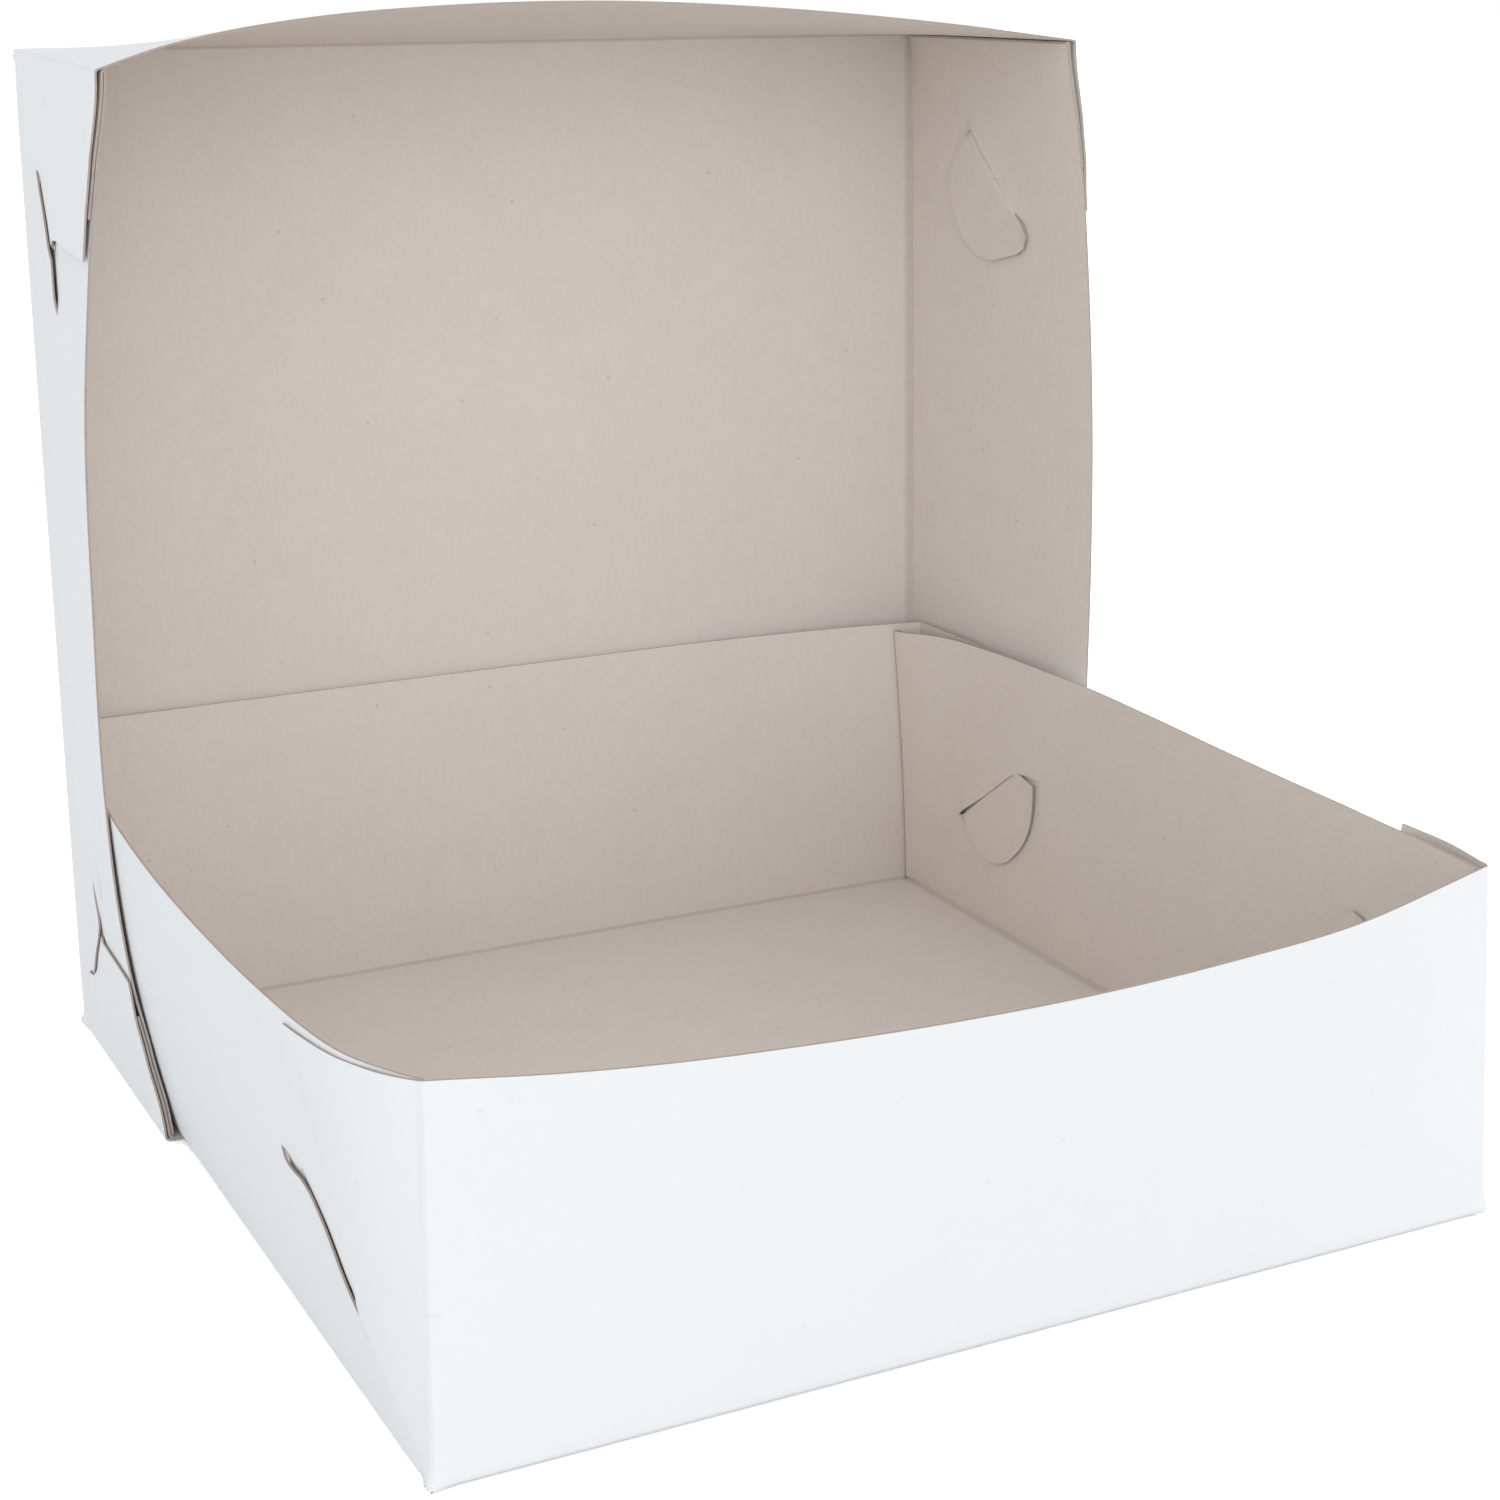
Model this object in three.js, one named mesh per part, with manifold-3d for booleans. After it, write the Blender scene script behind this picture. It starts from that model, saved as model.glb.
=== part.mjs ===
// Two-piece cake box of thin coated board: an open base tray that lies flat, and its lid, an equal open tray
// that stands on one wall behind the base. Millimetres, +Z up, the base's front to -Y, the origin on the table in
// the middle of the footprint.
// Each tray is one folded sheet. At each corner a square web is folded in half on its diagonal and laid outside
// the side wall, and a tongue of the web goes through a slit in the side wall and lies flat inside.
import * as THREE from 'three';
import { mergeVertices } from 'three/addons/utils/BufferGeometryUtils.js';
import Module from 'manifold-3d';

const BOARD = 0.6; // thickness of the board
const LAYER_GAP = 0.3; // air between two layers of board laid on each other
const FOLD_RADIUS = 1.1; // outer radius of the folded corner from an end wall to its web

const BASE_WIDTH = 305; // along X, over the outer webs
const BASE_LENGTH = 305; // along Y, over the end walls
const BASE_DEPTH = 100; // height of the walls
const BASE_BOWS = { front: 22, rear: 4.4, left: 17, right: 4 }; // how far each rim stands out at its fullest
const BASE_PEAKS = { front: 0.54, rear: 0.5, left: 0.41, right: 0.64 }; // where along the rim that is, 0 to 1
// How far each corner of the rim stands off its corner of the floor, along X and Y.
const BASE_LEANS = { frontLeft: [0.7, -2.1], frontRight: [-5.5, 2.1], rearLeft: [0.4, 3.9], rearRight: [1, -4.1] };

const LID_SIDE_PLAY = 4; // room between the base and the lid, both sides together
const LID_END_PLAY = 5;
const LID_DEPTH = 102;
const LID_BOWS = { front: 0, rear: 15.4, left: 12, right: 6.4 }; // the front wall is the one that the lid stands on
const LID_PEAKS = { front: 0.5, rear: 0.44, left: 0.44, right: 0.56 };
const LID_LEANS = { frontLeft: [0, 0], frontRight: [7.1, 0], rearLeft: [0, -6.4], rearRight: [-0.5, -4] };
const LID_LEAN = 1.36; // degrees that the lid's panel leans back
const LID_SHIFT = -0.6; // the lid stands this far to the left of the base's middle
const LID_BEHIND = 3.4; // from the base's rear wall to the panel's inner face, at the foot

const BOW_POWER = 2.3; // roundness of a bowed rim: 2 is a parabola, more is fuller
const LONGEST_EDGE = 56; // facets of a bowed wall are no longer than this
const LONGEST_EDGE_IN_WEB = 26; // and no longer than this where layers lie on each other

const WEB_RIM = 52; // length of the outer web along the rim
const WEB_END_SLANT = 5; // the web's free end runs this much further out at the tongue than at the rim
const FOLD_END = 30; // the diagonal fold ends this far along and this far up
const ROOT_RISE = 23; // the tongue's root rises this much from the end of the fold
const INNER_WEB_RIM = 40; // length of the inner half of the web along the rim
const INNER_WEB_WAIST = 24; // its narrowest width, beside the place that the tongue was cut from
const TONGUE_REACH = 34; // how far the tongue goes past its root, square to it
const TONGUE_HOOK = 15; // how far the tongue's upper corner runs past the end of its root
const TONGUE_CORNER = 0.12; // the tongue's round edge starts this part of a half turn past its straight end
const TONGUE_STEPS = 12; // facets of the round edge
const RAMP_LENGTH = 3; // the tongue takes this much of its length to pass through the wall
const SLIT_WIDTH = 2.1; // opening of the slit where the tongue goes through
const SLIT_TAIL = 15; // the slit runs on this far past the tongue's root, more level than the root
const SLIT_TAIL_RISE = 3;
const CUT_OVER = 0.05; // small overlap where two shapes are joined
const WELD = 0.004; // corners closer than this are one

const OUTSIDE = 0xe9edf2;
const ROUGHNESS = 0.55;

// How much each layer at a side wall is set in from the outermost face, and the thickness that all of them take.
const OUTER_WEB = 0;
const INNER_WEB = BOARD + LAYER_GAP;
const SIDE_WALL = 2 * (BOARD + LAYER_GAP);
const TONGUE = 3 * (BOARD + LAYER_GAP);
const WALL_STACK = SIDE_WALL + BOARD;

const wasm = await Module();
wasm.setup();

function solidOf(geometry) {
  const bare = geometry.clone();
  bare.deleteAttribute('normal');
  bare.deleteAttribute('uv');
  const merged = mergeVertices(bare, 1e-5);
  return new wasm.Manifold(new wasm.Mesh({
    numProp: 3,
    vertProperties: new Float32Array(merged.attributes.position.array),
    triVerts: new Uint32Array(merged.index.array),
  }));
}

// The joined solid as a geometry, with corners that all but meet made one and the slivers between them dropped.
function geometryOf(solid) {
  const mesh = solid.getMesh();
  const loose = new THREE.BufferGeometry();
  loose.setAttribute('position', new THREE.BufferAttribute(new Float32Array(mesh.vertProperties), 3));
  loose.setIndex(new THREE.BufferAttribute(new Uint32Array(mesh.triVerts), 1));
  const geometry = mergeVertices(loose, WELD);
  const faces = new Map();
  for (let i = 0; i < geometry.index.count; i += 3) {
    const corners = [0, 1, 2].map((k) => geometry.index.array[i + k]);
    if (new Set(corners).size === 3) {
      const key = [...corners].sort((a, b) => a - b).join();
      if (faces.has(key)) {
        faces.delete(key);
      } else {
        faces.set(key, corners);
      }
    }
  }
  geometry.setIndex([...faces.values()].flat());
  return geometry;
}

function box(x0, x1, y0, y1, z0, z1) {
  const geometry = new THREE.BoxGeometry(x1 - x0, y1 - y0, z1 - z0);
  return geometry.translate((x0 + x1) / 2, (y0 + y1) / 2, (z0 + z1) / 2);
}

// A sheet cut to an outline given as points (along, up), laid against the left wall: its outline lies in the
// YZ plane, and it takes the thickness of the board from x = inset inwards.
function sheetAtLeft(points, inset, thickness = BOARD) {
  const outline = new THREE.Shape(points.map(([along, up]) => new THREE.Vector2(along, up)));
  const geometry = new THREE.ExtrudeGeometry(outline, { depth: thickness, bevelEnabled: false });
  const upright = new THREE.Matrix4().makeBasis(
    new THREE.Vector3(0, 1, 0), new THREE.Vector3(0, 0, 1), new THREE.Vector3(1, 0, 0));
  return geometry.applyMatrix4(upright).translate(inset, 0, 0);
}

// The board bent round an arc, as a strip standing on the XY plane: centre, radii, start and end angle, height.
function bentStrip(x, y, inner, outer, start, end, height) {
  const outline = new THREE.Shape();
  outline.absarc(0, 0, outer, start, end, false);
  outline.absarc(0, 0, inner, end, start, true);
  const geometry = new THREE.ExtrudeGeometry(outline, { depth: height, bevelEnabled: false, curveSegments: 2 });
  return geometry.translate(x, y, 0);
}

// Outlines of the web and its tongue, as (along the side wall from the corner, up from the floor).
const foldEnd = new THREE.Vector2(FOLD_END, FOLD_END);
const rootEnd = new THREE.Vector2(WEB_RIM + WEB_END_SLANT, FOLD_END + ROOT_RISE);
const rootWay = rootEnd.clone().sub(foldEnd).normalize();
const rootSquare = new THREE.Vector2(rootWay.y, -rootWay.x); // away from the web, down towards the floor
const rootLength = rootEnd.distanceTo(foldEnd);

function beside(along, across) {
  return [foldEnd.x + rootWay.x * along + rootSquare.x * across,
    foldEnd.y + rootWay.y * along + rootSquare.y * across];
}

function outerWeb(depth) {
  return [[0, 0], [FOLD_END, FOLD_END], [rootEnd.x, rootEnd.y], [WEB_RIM, depth], [0, depth]];
}

// The inner half keeps clear of the fold on its free side, and has the tongue's shape cut out of it.
function innerWeb(depth) {
  const waist = (FOLD_END + INNER_WEB_WAIST) / 2;
  const start = BOARD + LAYER_GAP + BOARD + LAYER_GAP / 2;
  return [[start, start], [FOLD_END, FOLD_END], [waist, FOLD_END + ROOT_RISE / 2],
    [INNER_WEB_WAIST, rootEnd.y], [waist, rootEnd.y + ROOT_RISE / 2], [INNER_WEB_RIM, depth], [start, depth]];
}

// The tongue inside the wall: a straight upper end that runs past the root, and a round belly back to the fold.
function tongue() {
  const points = [beside(0, RAMP_LENGTH), beside(rootLength, RAMP_LENGTH)];
  points.push(beside(rootLength + TONGUE_HOOK * rootWay.x, TONGUE_HOOK * rootSquare.x + RAMP_LENGTH));
  const middle = (rootLength + TONGUE_HOOK * rootWay.x) / 2;
  const startAngle = TONGUE_CORNER * Math.PI;
  for (let i = 0; i < TONGUE_STEPS; i += 1) {
    const angle = startAngle + (Math.PI - startAngle) * (i / TONGUE_STEPS);
    const across = RAMP_LENGTH + (TONGUE_REACH - RAMP_LENGTH) * Math.sin(angle);
    points.push(beside(middle + middle * Math.cos(angle), across));
  }
  return points.reverse();
}

// The part of the tongue that slants through the wall, from the outer web's layer to the layer inside the wall.
function tongueRamp() {
  const geometry = new THREE.BoxGeometry(1, 1, 1);
  const position = geometry.attributes.position;
  for (let i = 0; i < position.count; i += 1) {
    const atTip = position.getY(i) > 0;
    const along = position.getX(i) > 0 ? rootLength : CUT_OVER;
    const across = atTip ? RAMP_LENGTH + BOARD : -BOARD;
    const [y, z] = beside(along, across);
    const layer = atTip ? TONGUE : OUTER_WEB;
    const intoBox = position.getZ(i) > 0 ? 0 : BOARD;
    position.setXYZ(i, layer + intoBox, y, z);
  }
  return geometry;
}

// The slit in the side wall, as a solid to cut away: straight along the tongue's root and then more level.
function slit() {
  const middle = (RAMP_LENGTH * SIDE_WALL) / TONGUE;
  const near = middle - SLIT_WIDTH / 2;
  const far = middle + SLIT_WIDTH / 2;
  const [tailY, tailZ] = beside(rootLength, middle);
  const tail = [tailY + SLIT_TAIL, tailZ + SLIT_TAIL_RISE];
  const points = [beside(-SLIT_WIDTH / 2, near), beside(-SLIT_WIDTH / 2, far), beside(rootLength, far), tail,
    beside(rootLength + SLIT_WIDTH / 2, near)];
  return sheetAtLeft(points, SIDE_WALL - LAYER_GAP / 2, BOARD + LAYER_GAP);
}

// The diagonal fold that joins the outer half of the web to the inner half: a small round bead along it.
function diagonalFold() {
  const outer = BOARD + LAYER_GAP / 2;
  const reach = (FOLD_END - outer) * Math.SQRT2;
  const strip = bentStrip(0, 0, LAYER_GAP / 2, outer, 0, Math.PI, reach);
  const alongFold = new THREE.Vector3(0, 1, 1).normalize();
  const squareToFold = new THREE.Vector3(0, 1, -1).normalize();
  const turn = new THREE.Matrix4().makeBasis(new THREE.Vector3(1, 0, 0), squareToFold, alongFold);
  const seat = new THREE.Vector3(outer, outer, outer).addScaledVector(squareToFold, -CUT_OVER);
  return strip.applyMatrix4(turn).translate(seat.x, seat.y, seat.z);
}

// Cuts an outline off square at a given distance from the corner, to leave room for the corner's bend.
function clipFront(points, limit) {
  return [[limit, limit], ...points.slice(1, -1), [limit, points[points.length - 1][1]]];
}

// What stands at one corner, left and front: the corner fold, the two halves of the web and the tongue.
function cornerPieces(depth) {
  const turn = BOARD + LAYER_GAP / 2; // outer radius of a board folded flat onto itself
  const backFoldX = INNER_WEB + turn;
  const backFoldY = BOARD + LAYER_GAP + turn;
  return [
    bentStrip(FOLD_RADIUS, FOLD_RADIUS, FOLD_RADIUS - BOARD, FOLD_RADIUS, Math.PI, Math.PI * 1.5, depth),
    bentStrip(backFoldX, backFoldY, LAYER_GAP / 2, turn, Math.PI, Math.PI * 2, depth),
    sheetAtLeft(clipFront(outerWeb(depth), FOLD_RADIUS - CUT_OVER), OUTER_WEB),
    sheetAtLeft(innerWeb(depth).map(([along, up]) => [Math.max(along, backFoldY - CUT_OVER), up]), INNER_WEB),
    sheetAtLeft(tongue(), TONGUE),
    tongueRamp(),
    diagonalFold(),
  ];
}

// A piece of the left front corner carried to another corner; one flip turns its faces, so they are turned back.
function mirrored(geometry, width, length, flipX, flipY) {
  const copy = mergeVertices(geometry);
  copy.scale(flipX ? -1 : 1, flipY ? -1 : 1, 1).translate(flipX ? width : 0, flipY ? length : 0, 0);
  if (flipX !== flipY) {
    const turned = Array.from(copy.index.array);
    for (let i = 0; i < turned.length; i += 3) {
      [turned[i], turned[i + 1]] = [turned[i + 1], turned[i]];
    }
    copy.setIndex(turned);
  }
  return copy;
}

// The flat-walled tray: floor, walls, four web corners, with the four slits cut out of the side walls.
function straightTray(width, length, depth) {
  const backFold = BOARD + LAYER_GAP + BOARD + LAYER_GAP / 2;
  const endWall = FOLD_RADIUS - CUT_OVER;
  const walls = [
    box(SIDE_WALL, width - SIDE_WALL, 0, length, 0, BOARD),
    box(endWall, width - endWall, 0, BOARD, 0, depth),
    box(endWall, width - endWall, length - BOARD, length, 0, depth),
    box(SIDE_WALL, SIDE_WALL + BOARD, backFold - CUT_OVER, length - backFold + CUT_OVER, 0, depth),
    box(width - SIDE_WALL - BOARD, width - SIDE_WALL, backFold - CUT_OVER, length - backFold + CUT_OVER, 0, depth),
  ];
  const corners = [];
  const cuts = [];
  for (const flipX of [false, true]) {
    for (const flipY of [false, true]) {
      corners.push(...cornerPieces(depth).map((piece) => mirrored(piece, width, length, flipX, flipY)));
      cuts.push(mirrored(slit(), width, length, flipX, flipY));
    }
  }
  const joined = walls.map(solidOf).reduce((a, b) => a.add(b));
  const slitted = cuts.map(solidOf).reduce((a, b) => a.subtract(b), joined);
  return geometryOf(corners.map(solidOf).reduce((a, b) => a.add(b), slitted));
}

// Splits every edge that is too long at its middle, until the walls have facets enough to be bowed. The floor stays
// flat, so its edges are left whole.
function withShortEdges(geometry, width, length) {
  const webZone = rootEnd.x + TONGUE_HOOK;
  const points = [];
  const position = geometry.attributes.position;
  for (let i = 0; i < position.count; i += 1) {
    points.push(new THREE.Vector3().fromBufferAttribute(position, i));
  }
  let triangles = [];
  for (let i = 0; i < geometry.index.count; i += 3) {
    triangles.push([0, 1, 2].map((k) => geometry.index.array[i + k]));
  }
  const isLong = (a, b) => {
    const p = points[a];
    const q = points[b];
    if (p.z < BOARD * 1.5 && q.z < BOARD * 1.5) {
      return false;
    }
    const besideSide = Math.max(p.x, q.x) < WALL_STACK * 2 || Math.min(p.x, q.x) > width - WALL_STACK * 2;
    const fromEnd = Math.min(Math.max(p.y, q.y), length - Math.min(p.y, q.y));
    const inWeb = fromEnd > WALL_STACK * 2 && fromEnd < webZone;
    return p.distanceTo(q) > (besideSide && inWeb ? LONGEST_EDGE_IN_WEB : LONGEST_EDGE);
  };
  for (let split = true; split;) {
    split = false;
    const middles = new Map();
    const middleOf = (a, b) => {
      const key = a < b ? `${a},${b}` : `${b},${a}`;
      if (!middles.has(key)) {
        middles.set(key, points.push(points[a].clone().add(points[b]).multiplyScalar(0.5)) - 1);
      }
      return middles.get(key);
    };
    const next = [];
    for (const corners of triangles) {
      const lengths = corners.map((a, k) => (isLong(a, corners[(k + 1) % 3])
        ? points[a].distanceTo(points[corners[(k + 1) % 3]]) : 0));
      const longest = lengths.indexOf(Math.max(...lengths));
      const [a, b, c] = [0, 1, 2].map((k) => corners[(longest + k) % 3]);
      const marks = [lengths[longest], lengths[(longest + 1) % 3], lengths[(longest + 2) % 3]].map((v) => v > 0);
      if (!marks[0]) {
        next.push(corners);
        continue;
      }
      split = true;
      const ab = middleOf(a, b);
      const bc = marks[1] ? middleOf(b, c) : null;
      const ca = marks[2] ? middleOf(c, a) : null;
      next.push(...(bc === null ? [[ab, b, c]] : [[ab, b, bc], [ab, bc, c]]));
      next.push(...(ca === null ? [[a, ab, c]] : [[a, ab, ca], [ab, c, ca]]));
    }
    triangles = next;
  }
  return { points, triangles };
}

// How far a rim stands out at t from 0 to 1 along it: bow * (1 - |2 t^k - 1|^power), with k set by the peak.
function bowAt(t, bow, peak) {
  const inside = Math.min(Math.max(t, 0), 1);
  const k = Math.log(0.5) / Math.log(peak);
  return bow * (1 - Math.abs(2 * inside ** k - 1) ** BOW_POWER);
}

// Bends the straight walls: each point moves out in proportion to its height, by its wall's bow and its corners'
// leans, and comes down as a wall does that keeps its length. frontLean, in degrees, opens the front wall further.
function folded(tray, width, length, depth, bows, peaks, leans, frontLean) {
  const opened = Math.tan(THREE.MathUtils.degToRad(frontLean));
  const leanAt = (u, v, axis) => THREE.MathUtils.lerp(
    THREE.MathUtils.lerp(leans.frontLeft[axis], leans.frontRight[axis], u),
    THREE.MathUtils.lerp(leans.rearLeft[axis], leans.rearRight[axis], u), v);
  for (const p of tray.points) {
    const u = p.x / width;
    const v = p.y / length;
    const left = bowAt(v, bows.left, peaks.left) * (1 - u);
    const right = bowAt(v, bows.right, peaks.right) * u;
    const front = bowAt(u, bows.front, peaks.front) * (1 - v);
    const rear = bowAt(u, bows.rear, peaks.rear) * v;
    const slopeX = (right - left + leanAt(u, v, 0)) / depth;
    const slopeY = (rear - front + leanAt(u, v, 1)) / depth;
    const height = p.z;
    p.x += slopeX * height;
    p.y += (slopeY - opened * (1 - v)) * height;
    p.z = height * Math.sqrt(1 - slopeX * slopeX - slopeY * slopeY);
  }
  const geometry = new THREE.BufferGeometry().setFromPoints(tray.points);
  geometry.setIndex(tray.triangles.flat());
  geometry.computeVertexNormals();
  return geometry;
}

function trayMesh(name, width, length, depth, bows, peaks, leans, frontLean) {
  const tray = withShortEdges(straightTray(width, length, depth), width, length);
  const geometry = folded(tray, width, length, depth, bows, peaks, leans, frontLean);
  const material = new THREE.MeshStandardMaterial({ color: OUTSIDE, roughness: ROUGHNESS, metalness: 0 });
  const mesh = new THREE.Mesh(geometry, material);
  mesh.name = name;
  return mesh;
}

// The lid is larger than the base by its play and by its own layers of board.
const LID_WIDTH = BASE_WIDTH + LID_SIDE_PLAY + 2 * (WALL_STACK - BOARD / 2);
const LID_LENGTH = BASE_LENGTH + LID_END_PLAY;

// The lid stands up: its panel leans back, and the wall under it lies flat on the table, below the base.
const lid = trayMesh('lid_tray', LID_WIDTH, LID_LENGTH, LID_DEPTH, LID_BOWS, LID_PEAKS, LID_LEANS, LID_LEAN);
lid.position.set((BASE_WIDTH - LID_WIDTH) / 2 + LID_SHIFT, BASE_LENGTH + LID_BEHIND + BOARD, 0);
lid.rotation.x = THREE.MathUtils.degToRad(90 - LID_LEAN);

// The base lies on the table along its front edge, and on the rim of the lid's lower wall further back.
const base = trayMesh('base_tray', BASE_WIDTH, BASE_LENGTH, BASE_DEPTH, BASE_BOWS, BASE_PEAKS, BASE_LEANS, 0);
const lidRim = lid.position.y - LID_DEPTH / Math.cos(THREE.MathUtils.degToRad(LID_LEAN));
base.rotation.x = Math.atan((BOARD + LAYER_GAP) / lidRim);

// The origin is moved to the middle of the footprint, on the table.
const cakeBox = new THREE.Group();
cakeBox.add(base, lid);
const middle = new THREE.Box3().setFromObject(cakeBox, true).getCenter(new THREE.Vector3());
cakeBox.position.set(-middle.x, -middle.y, 0);
export default cakeBox;
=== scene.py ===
import math

import bpy
import numpy as np
from bpy.props import FloatProperty, FloatVectorProperty, PointerProperty, StringProperty
from mathutils import Matrix, Vector


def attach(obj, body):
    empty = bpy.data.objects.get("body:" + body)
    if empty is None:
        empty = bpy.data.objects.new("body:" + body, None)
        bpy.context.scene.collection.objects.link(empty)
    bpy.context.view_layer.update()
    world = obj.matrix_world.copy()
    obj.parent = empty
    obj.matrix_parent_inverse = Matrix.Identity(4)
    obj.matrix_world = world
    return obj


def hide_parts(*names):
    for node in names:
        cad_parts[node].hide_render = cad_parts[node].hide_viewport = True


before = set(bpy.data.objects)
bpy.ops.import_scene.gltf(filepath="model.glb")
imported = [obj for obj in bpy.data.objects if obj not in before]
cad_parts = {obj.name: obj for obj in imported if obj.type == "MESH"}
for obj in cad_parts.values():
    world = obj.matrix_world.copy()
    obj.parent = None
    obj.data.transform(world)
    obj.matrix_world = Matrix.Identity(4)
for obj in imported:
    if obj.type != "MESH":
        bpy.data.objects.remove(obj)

bl_info = {
    "name": "Cake box",
    "version": (1, 0, 0),
    "blender": (4, 5, 0),
    "location": "3D View > Sidebar > Cake box",
    "description": "Both trays of a cake box as folded board, with the table, lamps and camera",
    "category": "Object",
}

MM = 0.001
BOARD = 0.6  # thickness of the board, millimetres
LAYER = 0.9  # from one layer of board to the next laid on it
HALF = BOARD / 2
BEND = 1.1  # outer radius of a fold between two walls
WEB = HALF  # depth of each layer's middle at a side wall, from the outermost face
INNER_WEB = WEB + LAYER
WALL = WEB + 2 * LAYER
TONGUE = WEB + 3 * LAYER
DIP = 0.9  # a web goes in at its tongue's root by this much, where the tongue draws it into the slit
DIP_OVER, DIP_UP = 4.0, 5.0  # the dip starts over this length of the root, and fades this far above it
STRIP = 0.5  # width of the crushed crease where a tongue leaves its web
CUT_IN = 0.12  # width of the half cut beside that crease
RAMP = 1.8  # the tongue goes through its slit within this much of its length
SEAM = 4.0  # the floor's sheet ends this far from the side walls, and their own sheets go on from there
START = BEND + HALF + 0.25  # where the diagonal fold and the layers inside it begin, from the corner
SETTLED = 26.0  # from this far along, the side wall itself is flush with the outermost face
PRESS_FROM, PRESS_OVER = 36.0, 14.0  # where a web begins to be pressed to its wall, and over how much length
LOWER_LIP, UPPER_LIP = 7.0, 6.0  # how far from the slit its lips fade
UPPER_SHARE = 0.4  # the upper lip goes in by this share of what the lower one stands out
SINK_OVER = 16.0  # how far along from the corner the inner layers' sinking fades
EAR_OVER = 3.6  # how far from the corner of the floor an ear fades
NEAR_BEND = ((BEND, BEND), BEND - HALF)  # centre and radius of a fold's middle layer
OUTSIDE, INSIDE, CUT = 0, 1, 2

# Where the rows of points lie: up the wall below the slit, up the wall above it, and out along the tongue.
LOWER_ROWS = np.array([0, 0.012, 0.035, 0.08, 0.16, 0.28, 0.42, 0.58, 0.74, 0.88, 0.96, 1.0])[:, None]
UPPER_ROWS = np.array([0, 0.03, 0.08, 0.16, 0.26, 0.38, 0.5, 0.62, 0.74, 0.85, 0.93, 0.98, 1.0])[:, None]
TONGUE_ROWS = np.array([0.14, 0.22, 0.34, 0.5, 0.66, 0.8, 0.9, 0.96, 1.0])[:, None]
DIAGONAL_POINTS, ROOT_POINTS = 13, 19

# Rims: (distance along the wall, how far the rim stands out there), millimetres.
BASE_RIMS = {
    "front": [(0, 2.4), (28, 10.6), (55, 15.6), (83, 18.6), (122, 21.2), (165, 21.7), (205, 19.6), (247, 14.9),
              (285, 4.5), (305, -2.1)],
    "rear": [(0, 4.4), (60, 5.2), (150, 4.9), (224, 4.2), (277, -0.5), (305, -5.0)],
    "left": [(0, 0.4), (4, 3.0), (15.7, 8.2), (27, 11.0), (42, 13.1), (58, 14.4), (73, 15.3), (112, 16.5),
             (163, 16.3), (224, 12.8), (270, 6.6), (305, -0.4)],
    "bulge": [(0, 0), (60, 0), (150, 1.6), (200, 2.6), (270, 2.2), (305, 0)],
    "right": [(0, -5.3), (38, -5.6), (113, -3.0), (165, 0.4), (196, 1.9), (234, 0.9), (293, 0.2), (305, 1.0)],
}
LID_RIMS = {
    "front": [(0, 0), (313.2, 0)],
    "rear": [(0, -6.4), (18, -0.8), (37, 3.2), (57, 6.0), (101, 9.2), (147, 9.9), (212, 6.8), (264, 2.0),
             (313.2, -4.0)],
    "left": [(0, 0), (15, 0.8), (30, 3.0), (48, 6.4), (70, 9.0), (103, 10.8), (160, 10.6), (216, 9.0), (256, 5.3),
             (303, 0.0), (310, 0.0)],
    "bulge": [(0, 0), (310, 0)],
    "right": [(0, 6.6), (93, 7.6), (141, 8.6), (185, 8.3), (256, 4.2), (306, -0.5), (310, -0.5)],
}

# Corner locks, in millimetres, as (along the side wall from the corner, up from the floor):
# root: the line where the tongue leaves the web. belly: the tongue's outline in (along the root, square to it).
# slit: the line of the slit. opening: half its width, at each place along. notch: what it opens further upwards.
# pressed: how far the web is pressed in towards the wall near its end. rim_press: the same at the rim.
# lip: how far the tongue pushes the slit's lower lip out, less where the web is pressed.
# web_end: the web's free end as (0 at the rim to 1 at the root, along). drop: how far its rim comes down there.
# gap: how far the inner layers stand off the outer web at the rim. flare: how far the outer web stands out there.
# sink: how far the inner layers come down at the corner. inner_drop: how far their rim does towards the tongue.
# hook_lift: how far the tongue's far end stands off the wall. ear: how far the crumpled corner sticks out in x and y.
BELLY = [(0.0, 2.0), (0.6, 9.0), (3.4, 15.6), (8.0, 21.8), (13.9, 25.0), (20.7, 26.4), (27.6, 26.0), (36.0, 23.4),
         (42.6, 18.6), (46.4, 13.0), (48.8, 6.5), (48.6, 1.0), (46.0, -1.6)]
LOCK = {
    "root": [(31.0, 31.0), (58.5, 53.0)],
    "slit": [(30.4, 29.9), (45.0, 41.0), (59.0, 51.8), (66.0, 53.0), (75.0, 55.2)],
    "opening": [(30.4, 0.0), (32.0, 0.4), (36.0, 0.5), (56.0, 0.5), (60.0, 0.4), (75.0, 0.0)],
    "notch": [(0.0, 0.0), (80.0, 0.0)],
    "pressed": 0.85,
    "lip": 1.6,
    "belly": BELLY,
    "web_end": [(0.0, 52.0), (0.45, 55.5), (0.85, 60.5), (1.0, 58.5)],
    "gap": [(0, 0.4), (60, 0.0)],
    "flare": [(0, 0.0), (60, 0.0)],
    "sink": 0.0,
    "drop": 0.5,
    "inner_drop": 0.5,
    "rim_press": 0.0,
    "hook_lift": 0.4,
    "ear": (0.0, 0.0),
}


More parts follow.
